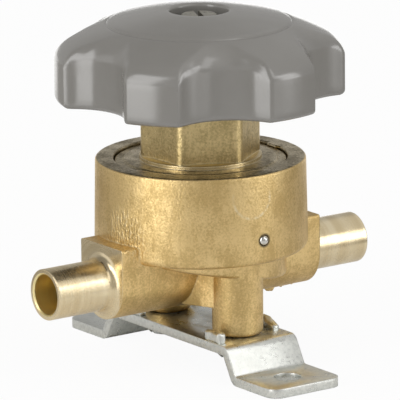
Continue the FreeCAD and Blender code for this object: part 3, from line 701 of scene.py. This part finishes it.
def makeBody(spec=bodySpec):
    wide, half, end, post = spec["chamber"], spec["boss"], spec["boss end"], spec["post"]
    stub, stubEnd, riser, socket = spec["stub"], spec["stub end"], spec["riser"], spec["socket"]
    bowl = lathe("valveBody", rounded([(0, bowlBase), (spec["bowl"], bowlBase, 1.7),
                                       (spec["bowl top"], bowlTop, 0.7), (0, bowlTop)]), 256)
    chamber = lathe("chamber", rounded([(0, 0), (wide, 0, 1.4), (wide, 9), (0, 9)]), 160)
    chamberBase = 22.6
    for vertex in chamber.data.vertices:
        if vertex.co.z < 8 * mm:  # the underside slopes down towards the outlet
            vertex.co.z += chamberBase * mm - math.tan(math.radians(spec["slope"])) * vertex.co.x
        else:
            vertex.co.z = (bowlBase + 1.7) * mm
    top = portHeight + 9.6
    section = rounded([(half, top, 0.6), (-half, top, 0.6)] + arc(0, portHeight, half, 180, 360, 40))
    bar = loft("bar", section, section, -end, end, lambda a, b, c: (c, a, b))
    waist, flank, root = 5.2, 9.5, 5.0
    low = [(waist, -postOffset), (flank, -root), (flank, root), (waist, postOffset)]
    high = [(waist, -postOffset), (waist, -root), (waist, root), (waist, postOffset)]
    low, high = [side + [(-x, -y) for x, y in side] for side in (low, high)]
    blanks = [chamber, bar, loft("web", low, high, portHeight - 6.9, bowlBase + 1)]
    for side in (-1, 1):
        outline = rounded([(0, stripTop), (post, stripTop, 1.6), (post, bowlBase + 1), (0, bowlBase + 1)], 8)
        blanks.append(lathe("post", outline, 96, movedBy(0, side * postOffset)))
        outline = rounded([(0, 20), (8.2, 20), (8.2, end - 0.01), (stub, end - 0.01, 2.0),
                           (stub, stubEnd, 0.3), (0, stubEnd)], 10)
        blanks.append(lathe("stub", outline, 128, alongX(side)))
    combine(bowl, "UNION", blanks)
    seatTop, lip = 33.9, riser + 1.2
    hollow = lathe("hollow", [  # room for the cone and its spring round the seat
        (riser, 29.4), (riser, seatTop), (lip, seatTop), (lip + 1.6, 30.4), (15, 30.4), (15, 36.2),
        (17, 36.2), (17, 42.5), (20.7, 42.5), (20.7, 48.85), (20.95, 49.1), (20.95, 51), (0, 51),
        (0, 29.4)], 256)
    cuts = [hollow, drum("inlet", spec["bore"], 0, 45.2, alongX(-1)),
            drum("outlet", spec["bore"], 11.6, 45.2, alongX(1)), drum("riser", riser, 17.6, seatTop),
            drum("climb", 2.6, portHeight, 31.4, movedBy(11.6, 0))]
    for side in (-1, 1):
        mouth = [(0, 36.1), (socket, 36.1), (socket, 44.75), (5.15, stubEnd), (5.15, 46), (0, 46)]
        cuts.append(lathe("socket", mouth, 128, alongX(side)))
        cuts.append(drum("tapped", spec["thread"], stripTop - 1, 18.0, movedBy(0, side * postOffset)))
    drilling = movedBy(0, ballSpot[1] + 1.8, ballSpot[2]) @ Matrix.Rotation(math.pi / 2, 4, "X")
    cuts.append(drum("drilling", spec["ball"] + 0.04, 0, 6, drilling, 64))
    return combine(bowl, "DIFFERENCE", cuts)


def paintBody(body, materials):
    forged, turned, face, ring, bore = range(5)
    neck, rim = bodySpec["boss end"] + 0.05, bodySpec["stub end"] - 0.1
    paint(body, *materials)
    for polygon in body.data.polygons:
        centre, normal = polygon.center / mm, polygon.normal
        reach, radius = abs(centre.x), math.hypot(centre.x, centre.y)
        fromPort = math.hypot(centre.y, centre.z - portHeight)
        kind = forged
        if radius < 21.2 and centre.z > 30 and normal.z > -0.5 and reach < 24:
            kind = ring
        elif centre.z > bowlTop - 0.25 and normal.z > 0.8:
            kind = ring
        elif reach > neck and fromPort < bodySpec["socket"] + 0.5:
            kind = bore if abs(normal.x) < 0.95 or reach < rim else face
        elif reach > neck:
            kind = turned if abs(normal.x) < 0.6 else face
        elif abs(normal.x) > 0.95 and reach > neck - 0.15:
            kind = face
        elif fromPort < bodySpec["socket"] + 0.1 and reach > 8:
            kind = bore
        polygon.material_index = kind


body = makeBody()
tidyMesh(body, 32)
forged = forgedBrass(spots=bodySpots)
paintBody(body, [forged,
                 turnedBrass("turnedStub", turnedLook, "x"),
                 turnedBrass("machinedFace", turnedLook, "face", 0.7),
                 forgedBrass("machinedRim", plateLook),
                 turnedBrass("portBore", boreLook, "x", 0.8)])
mount(body, "valve", "body_brass", "valve_body")
print("body ready:", len(body.data.polygons), "faces")


# ragged flash left under one boss where the halves of the forging die met
flashSpec = {"Steps": 90, "From": 18.4, "To": 27.6, "Thickness": 0.8, "Depth": 0.5, "Ragged": 1.1, "Seed": 11}
bossUnderside = portHeight - bodySpec["boss"] + 0.05


def flashTree():
    tree, have, give = newForm("forgingFlash", flashSpec)
    across, around = gridPlace(tree)
    along, around = across + 0.5, around * math.tau
    reach = along * (have["To"] - have["From"]) + have["From"]
    taper = calc("SQRT", calc("SUBTRACT", 1.0, (along * 2.0 - 1.0) ** 4.0, clamp=True))
    lumps = put(tree, "ShaderNodeTexNoise", {"Vector": pointAt(tree, reach, have["Seed"], 0), "Scale": 0.5})
    fade = along * -0.5 + 1.0  # the lumps grow smaller towards the port
    ragged = remap(out(lumps, "Fac"), 0.42, 0.62) * have["Ragged"]
    depth = (ragged * fade + have["Depth"]) * taper
    bent = bentGrid(tree, have["Steps"], 16, reach, calc("COSINE", around) * taper * have["Thickness"],
                    calc("SINE", around) * depth + bossUnderside)
    return finishTree(tree, bent, have, give, weld=True)


flash = growPiece("forgingFlash", flashTree(), {**flashSpec, "Material": forged})
tidyMesh(flash, 50)
mount(flash, "valve", "body_brass")
print("flash grown")

# ball pressed into the drilling
size = bodySpec["ball"]
ball = lathe("ballPlug", [(0, -size)] + arc(0, 0, size, -88, 88, 30) + [(0, size)], 48,
             movedBy(*ballSpot) @ Matrix.Rotation(math.pi / 2, 4, "X"))
paint(ball, plainFinish("polishedSteel"))
mount(ball, "valve", "spring_steel", "ball_plug")


# bonnet: turned flange and collar, milled hexagon, neck
bonnetSpec = {"flange": 20.35, "step": 18.1, "collar": 14.55, "across": 25.4, "angle": 35.0, "corner": 2.4,
              "chamfer": (2.4, 1.25), "neck": 9.2}


def makeBonnet(spec=bonnetSpec):
    across, cone = spec["across"] / 2, 49.7
    flange, step, collar = spec["flange"], spec["step"], spec["collar"]
    plate = lathe("bonnetTurned", rounded([
        (4, 44.55), (flange, 44.55), (flange, flangeTop, 0.3), (step + 0.35, flangeTop), (step, 48.75, 0.1),
        (collar, 48.75, 0.12), (collar, cone, 0.18), (across, hexBase), (4, hexBase)]), 256)
    point = across / math.cos(math.pi / 6)
    turns = [math.radians(spec["angle"] + 60 * side) for side in range(6)]
    corners = [(point * math.cos(turn), point * math.sin(turn), spec["corner"]) for turn in turns]
    section = rounded(corners, 10)
    hexagon = loft("hexagon", section, section, cone - 0.1, hexTop)
    inwards, down = spec["chamfer"]
    cap = lathe("cap", [(0, cone - 0.2), (point, cone - 0.2), (point, hexTop - down),
                        (point - inwards, hexTop), (0, hexTop)], 192)
    combine(hexagon, "INTERSECT", [cap])
    wide = spec["neck"]
    outline = rounded([(0, hexTop - 1), (wide, hexTop - 1), (wide, neckTop, 0.25), (0, neckTop)])
    neck = lathe("neck", outline, 128)
    combine(plate, "UNION", [hexagon, neck])
    inside = lathe("inside", [  # room for the diaphragms, the pad, the spindle and its seal
        (0, 43.5), (11.35, 43.5), (11.35, 49.4), (8.55, 49.4), (8.55, 51.1), (6.05, 51.1), (6.05, 63.85),
        (6.6, 63.85), (6.6, 67.5), (0, 67.5)], 96)
    return combine(plate, "DIFFERENCE", [inside])


bonnet = makeBonnet()
tidyMesh(bonnet, 25)
paint(bonnet, turnedBrass("bonnetTurning", rimLook, "radius", 0.4), forgedBrass("milledHexagon", hexLook),
      forgedBrass("bonnetPlate", plateLook))
for polygon in bonnet.data.polygons:
    centre = polygon.center / mm
    if hexBase - 0.3 < centre.z < hexTop + 0.1 and abs(polygon.normal.z) < 0.8:
        polygon.material_index = 1
    elif math.hypot(centre.x, centre.y) > bonnetSpec["collar"] and centre.z > flangeTop - 0.5:
        polygon.material_index = 2
mount(bonnet, "valve", "turned_brass", "bonnet")
print("bonnet ready")


# rolled lip of the bowl over the bonnet's edge: uneven, and open in places
lipSpec = {"Segments": 540, "Radius": 20.62, "Width": 0.8, "Rise": 0.4, "Level": 48.72, "Uneven": 0.22,
           "Seed": 7}
openArcs = [(97, 186, 1.0), (3.5, 11.5, 0.9), (-68, -11.5, 1.0)]  # degrees round the axis, and how far open


def lipTree():
    tree, have, give = newForm("rolledLip", lipSpec)
    across, around = gridPlace(tree)
    turn, around = across * math.tau, around * math.tau
    degrees = calc("DEGREES", turn)
    cover = 1.0
    for start, finish, depth in openArcs:
        middle, half = (start + finish) / 2, (finish - start) / 2
        away = calc("WRAP", degrees - middle, 180.0, -180.0)
        cover = cover * remap(abs(away), half - 3.0, half + 3.0, 1.0 - depth, 1.0)
    circle = pointAt(tree, *aroundAxis(1.0, turn), have["Seed"])

    def wobble(scale):
        return out(put(tree, "ShaderNodeTexNoise", {"Vector": circle, "Scale": scale}), "Fac") - 0.5

    reach = wobble(9.0) * have["Uneven"] + wobble(2.2) * 0.5
    width = calc("MAXIMUM", cover * (have["Width"] + reach), 0.1)
    rise = (wobble(5.0) * 0.35 + have["Rise"]) * (cover * 0.5 + 0.5)
    radius = calc("COSINE", around) * width + (have["Radius"] + (have["Width"] - width))
    height = calc("SINE", around) * rise + have["Level"]
    ring = bentGrid(tree, have["Segments"], 12, *aroundAxis(radius, turn), height)
    return finishTree(tree, ring, have, give, weld=True)


lipMaterial = turnedBrass("rolledLip", {**rimLook, "roughness": (0.16, 0.3), "light": (0.8, 0.68, 0.46, 1)},
                          "radius", 0.3)
lip = growPiece("rolledLip", lipTree(), {**lipSpec, "Material": lipMaterial})
tidyMesh(lip, 60)
mount(lip, "valve", "body_brass")
print("rolled lip grown")


# bracket: one strip with two bends at each end, drilled, and four sheared lugs beside the posts
bracketSpec = {"half": 10.1, "thick": 2.2, "strip": 23.5, "foot": 27.2, "end": 42.2, "inner bend": 0.9,
               "outer bend": 2.4, "corner": 3.0, "foot hole": 3.25, "foot hole at": 34, "post hole": 2.75}


def makeBracket(spec=bracketSpec):
    half, thick, strip, foot, end = [spec[key] for key in ("half", "thick", "strip", "foot", "end")]
    small, large, corner = spec["inner bend"], spec["outer bend"], spec["corner"]
    shift = thick * math.tan(math.atan2(stripBase, foot - strip) / 2)
    top = [(-end, thick), (-foot, thick, small), (-strip, stripTop, large), (strip, stripTop, large),
           (foot, thick, small), (end, thick)]
    under = [(end, 0), (foot - shift, 0, large), (strip - shift, stripBase, small),
             (shift - strip, stripBase, small), (shift - foot, 0, large), (-end, 0)]
    section = rounded(top + under, 7)
    blank = loft("mountingBracket", section, section, -half, half, lambda a, b, c: (c, a, b))
    plan = [(half, end, corner), (-half, end, corner), (-half, -end, corner), (half, -end, corner)]
    plan = rounded(plan, 10)
    combine(blank, "INTERSECT", [loft("plan", plan, plan, -1, 12)])
    holes = []
    for side in (-1, 1):
        holes.append(drum("footHole", spec["foot hole"], -1, 5, movedBy(0, side * spec["foot hole at"])))
        holes.append(drum("postHole", spec["post hole"], 5, 10, movedBy(0, side * postOffset)))
    combine(blank, "DIFFERENCE", holes)
    soften = blank.modifiers.new("soften", "BEVEL")
    soften.width, soften.segments, soften.limit_method = 0.22 * mm, 2, "ANGLE"
    soften.angle_limit = math.radians(50)
    return bake(blank)


lugSpec = {"Length": 6.2, "Thickness": 2.4, "Height": 2.9, "Round": 0.85, "Lumps": 0.75, "Seed": 3}
lugSide, lugLevel = bracketSpec["half"] - lugSpec["Thickness"] / 2 - 0.02, stripTop + 1.15
# place of each lug across and along the strip, and how far its top slopes
lugSpots = [(-lugSide, -17.5, 0.0), (lugSide, -14.7, -0.5), (lugSide, 17.5, 0.0), (-lugSide, 14.7, 0.5)]


def lugTree():
    tree, have, give = newForm("shearedLugs", lugSpec)
    size = pointAt(tree, have["Thickness"], have["Length"], have["Height"])
    joined = put(tree, "GeometryNodeJoinGeometry")
    for x, y, drop in lugSpots:
        block = put(tree, "GeometryNodeMeshCube", {
            "Size": size, "Vertices X": 14, "Vertices Y": 30, "Vertices Z": 16})
        spot = out(put(tree, "GeometryNodeInputPosition"))
        core = vectorCalc("SUBTRACT", vectorCalc("SCALE", size, scale=0.5), have["Round"])
        low = vectorCalc("MAXIMUM", spot, vectorCalc("SCALE", core, scale=-1.0))
        inner = vectorCalc("MINIMUM", low, core)  # nearest point of a smaller block
        outward = vectorCalc("NORMALIZE", vectorCalc("SUBTRACT", spot, inner))
        cloud = put(tree, "ShaderNodeTexNoise", noise_dimensions="4D")
        feedAll(cloud, {"Vector": spot, "W": have["Seed"] + (x * 1.7 + y), "Scale": 0.55})
        swell = (out(cloud, "Fac") - 0.62) * have["Lumps"] + have["Round"]
        final = vectorCalc("ADD", inner, vectorCalc("SCALE", outward, scale=swell))
        # the top slopes down towards one end where the punch tore it
        share = axisOf(spot, 1) / have["Length"] * (drop * 2) + abs(drop)
        lower = remap(share, 0.25, 1.0) * -0.55 + 1.0
        base = have["Height"] * -0.5
        height = (axisOf(final, 2) - base) * lower + base
        lug = moved(tree, out(block, "Mesh"), axisOf(final, 0), axisOf(final, 1), height)
        feed(joined.inputs[0], out(put(tree, "GeometryNodeTransform", {
            "Geometry": lug, "Translation": (x, y, lugLevel)})))
    return finishTree(tree, out(joined), have, give)


zinc = zincSteel()
bracket = makeBracket()
tidyMesh(bracket, 40)
paint(bracket, zinc)
mount(bracket, "valve", "zinc_steel", "mounting_bracket")
lugs = growPiece("bracketLugs", lugTree(), {**lugSpec, "Material": zinc})
tidyMesh(lugs, 60)
mount(lugs, "valve", "zinc_steel")
print("bracket ready")


# handwheel screw: slotted head in the recess of the wheel
wheelScrewSpec = {"shank": 2.5, "tip": 70.4, "head": 4.25, "slot": 1.24, "depth": 1.4, "angle": -114.3}


def makeWheelScrew(spec=wheelScrewSpec):
    shank, wide, tip = spec["shank"], spec["head"], spec["tip"]
    base, top, half = hubFloor + 1.1, hubFloor + 4.4, spec["slot"] / 2
    head = lathe("handwheelScrew", rounded([
        (0, tip), (shank, tip, 0.3), (shank, base), (wide, base, 0.15), (wide, top, 0.45), (0, top)]), 128)
    section = [(-9, -half), (9, -half), (9, half), (-9, half)]
    slot = loft("slot", section, section, top - spec["depth"], top + 1)
    slot.data.transform(Matrix.Rotation(math.radians(spec["angle"]), 4, "Z"))
    return combine(head, "DIFFERENCE", [slot])


wheelScrew = makeWheelScrew()
tidyMesh(wheelScrew, 30)
paint(wheelScrew, plainFinish("dullZinc"))
mount(wheelScrew, "wheel", "zinc_steel", "handwheel_screw")
print("handwheel screw ready")


# bracket screws: one screw, grown and set at both posts
screwSpec = {"Spacing": 2 * postOffset, "Head Radius": 4.9, "Head Height": 2.3, "Shank Radius": 2.45,
             "Slot Width": 1.2, "Slot Depth": 1.1}


def screwTree():
    tree, have, give = newForm("bracketScrews", screwSpec)
    headTop, edge, headRadius = stripBase - 1.0, 0.6, have["Head Radius"]

    def raised(geometry, height):
        return out(put(tree, "GeometryNodeTransform", {
            "Geometry": geometry, "Translation": pointAt(tree, 0, 0, height)}))

    def bar(low, high, radiusLow, radiusHigh, sides=64):
        cone = put(tree, "GeometryNodeMeshCone", {
            "Vertices": sides, "Radius Bottom": radiusLow, "Radius Top": radiusHigh, "Depth": high - low})
        return raised(out(cone, "Mesh"), low)

    headBase = headTop - have["Head Height"]
    rim = headBase + edge
    head = bar(rim, headTop, headRadius, headRadius)
    chamfer = bar(headBase, rim + 0.001, headRadius - edge, headRadius)
    shank = bar(headTop - 0.5, headTop + 11.0, have["Shank Radius"], have["Shank Radius"], 48)
    union = put(tree, "GeometryNodeMeshBoolean", operation="UNION")
    for form in (head, chamfer, shank):
        feed(union.inputs[1], form)
    size = pointAt(tree, 20.0, have["Slot Width"], have["Slot Depth"] * 2.0)
    groove = out(put(tree, "GeometryNodeMeshCube", {"Size": size}), "Mesh")
    cut = put(tree, "GeometryNodeMeshBoolean", operation="DIFFERENCE")
    feedAll(cut, {0: out(union), 1: raised(groove, headBase)})
    line = put(tree, "GeometryNodeMeshLine", {
        "Count": 2, "Start Location": pointAt(tree, 0, have["Spacing"] * -0.5, 0),
        "Offset": pointAt(tree, 0, have["Spacing"], 0)})
    copies = put(tree, "GeometryNodeInstanceOnPoints", {"Points": out(line), "Instance": out(cut)})
    return finishTree(tree, out(copies), have, give)


screws = growPiece("bracketScrews", screwTree(), {**screwSpec, "Material": zinc})
tidyMesh(screws, 30)
mount(screws, "valve", "zinc_steel", "bracket_screws")
print("screws ready")


# pieces that keep their CAD shape get their materials
rubber, springSteel, seatPlastic = [plainFinish(name) for name in ("rubber", "springSteel", "seatPlastic")]
innerBrass = turnedBrass("innerBrass", turnedLook, "z", 0.5)
keptFinishes = [
    (rubber, ["body_gasket", "dust_seal"]),
    (springSteel, ["diaphragm_lower", "diaphragm_middle", "diaphragm_upper", "return_spring", "spindle",
                   "handwheel_washer", "bracket_washers"]),
    (innerBrass, ["clamp_ring", "cone_guide", "valve_cone", "disc_screw", "thrust_pad"]),
    (seatPlastic, ["seat_disc"])]
for material, names in keptFinishes:
    for name in names:
        paint(nodes[name], material)
print("inner pieces painted")


# floor, light and camera
cameraAim = -125.7  # world angle from the object towards the camera, in degrees
floorLook = {"half": 4000, "near": (0.80, 0.80, 0.80, 1), "dark": (0.38, 0.37, 0.35, 1), "far": 0.75,
             "edge": (0.1, 0.125), "white": 0.94}  # white is how far the camera sees it plain
# what metal sees near the horizon and overhead on the left and right, and how softly the room lights the rest
worldLook = {"horizon": 0.45, "zenith": (0.25, 0.62), "fill": (0.46, 0.80), "fill rise": 48,
             "tint": (1.0, 0.99, 0.97, 1)}
cameraLook = {"lens": 528.1, "shift": (-0.00752, 0.00037), "turn": 35.701, "rise": 13.848, "roll": 0.601,
              "place": (-0.78805, -1.09748, 0.37118)}
lowerLamps = [(-47, 14, 1.4, 0.10), (58, 18, 0.3, 0.12), (75, 9, 0.25, 0.25), (180, 32, 0.6, 0.12)]
lampGrowth = (0.264, 0.384, 0.0, 1.1)  # the lamps brighten again this far out


def makeFloor(look=floorLook):
    end = look["half"]
    floor = objectFrom("studioFloor", [(-end, -end, 0), (end, -end, 0), (end, end, 0), (-end, end, 0)],
                       [(0, 1, 2, 3)])
    material = bpy.data.materials.new("studioFloor")
    material.use_nodes = True
    tree = material.node_tree
    tree.nodes.clear()
    place = out(put(tree, "ShaderNodeTexCoord"), "Object")
    away = vectorCalc("LENGTH", place)
    far = remap(away, 0.09, 0.22, 0.0, look["far"])
    bearing = calc("DEGREES", calc("ARCTAN2", axisOf(place, 1), axisOf(place, 0)))
    bearing = calc("WRAP", bearing - cameraAim, 180.0, -180.0)
    across = away * calc("SINE", calc("RADIANS", bearing))
    beyond = remap(abs(across), *look["edge"])
    # polished surfaces see the table only up to its edge, and past it the lower halves of the soft lamps
    path = put(tree, "ShaderNodeLightPath")
    mirrored = out(path, "Is Glossy Ray")
    tone = blend(mirrored * calc("MAXIMUM", far, beyond), look["near"], look["dark"])
    plain = put(tree, "ShaderNodeBsdfDiffuse", {"Color": tone})
    lampSeen = 0.0
    for middle, half, strength, start in lowerLamps:  # middle and half width in degrees, start in metres
        side = abs(calc("WRAP", bearing - middle, 180.0, -180.0))
        growth = remap(away, start, start + 0.12) + remap(away, *lampGrowth)
        lampSeen = remap(side, half - 1.5, half + 1.5, strength, 0.0) * growth + lampSeen
    glow = put(tree, "ShaderNodeEmission", {"Strength": lampSeen * mirrored})
    lit = put(tree, "ShaderNodeAddShader", {0: out(plain), 1: out(glow)})
    white = put(tree, "ShaderNodeEmission")
    seen = out(path, "Is Camera Ray") * look["white"]
    mix = put(tree, "ShaderNodeMixShader", {0: seen, 1: out(lit), 2: out(white)})
    put(tree, "ShaderNodeOutputMaterial", {0: out(mix)})
    paint(floor, material)


def towards(turn, rise=0.0):
    # unit vector in a direction that is turned from the camera's side and raised, both in degrees
    a, e = math.radians(cameraAim + turn), math.radians(rise)
    return Vector((math.cos(a) * math.cos(e), math.sin(a) * math.cos(e), math.sin(e)))


def makeWorld(look=worldLook):
    world = bpy.data.worlds.new("studio")
    scene.world = world
    world.use_nodes = True
    tree = world.node_tree
    tree.nodes.clear()
    path = put(tree, "ShaderNodeLightPath")
    direction = out(put(tree, "ShaderNodeTexCoord"), "Generated")
    # what metal sees of the room, near the horizon and overhead
    sideways = vectorCalc("DOT_PRODUCT", direction, towards(90))
    overhead = remap(sideways, -0.1, 0.35, *look["zenith"])
    tone = remap(axisOf(direction, 2), 0.3, 0.62, look["horizon"], overhead)
    tints = {index: tone * tint for index, tint in enumerate(look["tint"][:3])}
    seen = put(tree, "ShaderNodeBackground", {"Color": out(put(tree, "ShaderNodeCombineColor", tints))})
    facing = vectorCalc("DOT_PRODUCT", direction, towards(0, look["fill rise"]))
    fill = remap(facing, -0.4, 1.0, *look["fill"])
    soft = put(tree, "ShaderNodeBackground", {"Color": look["tint"], "Strength": fill})
    white = put(tree, "ShaderNodeBackground")
    first = put(tree, "ShaderNodeMixShader", {0: out(path, "Is Glossy Ray"), 1: out(soft), 2: out(seen)})
    clear = calc("MAXIMUM", out(path, "Is Camera Ray"), out(path, "Is Transmission Ray"))
    last = put(tree, "ShaderNodeMixShader", {0: clear, 1: out(first), 2: out(white)})
    put(tree, "ShaderNodeOutputWorld", {0: out(last)})


lampTable = {  # degrees from the camera's side, elevation, distance, width, height, watts
    "softRight": (75, 16, 1.1, 0.34, 0.58, 1.7),
    "highRight": (54, 42, 1.3, 0.45, 0.95, 1.6),
    "softLeft": (-49, 27, 1.2, 0.52, 1.16, 4.8),
    "farLeft": (-86, 14, 1.2, 0.95, 0.6, 0.7),
}


def makeLamps():
    for name, (turn, rise, away, wide, high, watts) in lampTable.items():
        light = bpy.data.lights.new(name, "AREA")
        light.shape, light.size, light.size_y, light.energy = "RECTANGLE", wide, high, watts
        lamp = bpy.data.objects.new(name, light)
        scene.collection.objects.link(lamp)
        aim = towards(turn, rise)
        lamp.location = Vector((0, 0, 0.04)) + aim * away
        lamp.rotation_euler = (-aim).to_track_quat("-Z", "Y").to_euler()


def makeCamera(look=cameraLook):
    lens = bpy.data.cameras.new("photoCamera")
    lens.sensor_width, lens.lens, lens.clip_start, lens.clip_end = 36, look["lens"], 0.1, 20
    lens.shift_x, lens.shift_y = look["shift"]
    camera = bpy.data.objects.new("photoCamera", lens)
    scene.collection.objects.link(camera)
    turn, rise, roll = [math.radians(look[key]) for key in ("turn", "rise", "roll")]
    ahead = Vector((math.sin(turn) * math.cos(rise), math.cos(turn) * math.cos(rise), -math.sin(rise)))
    right = Vector((math.cos(turn), -math.sin(turn), 0))
    down = ahead.cross(right)
    across = right * math.cos(roll) + down * math.sin(roll)
    below = -right * math.sin(roll) + down * math.cos(roll)
    pose = Matrix((across, -below, -ahead)).transposed().to_4x4()
    pose.translation = look["place"]
    camera.matrix_world = pose
    scene.camera = camera


makeFloor()
makeWorld()
makeLamps()
makeCamera()
scene.view_settings.view_transform = "Standard"
print("stage, light and camera ready")
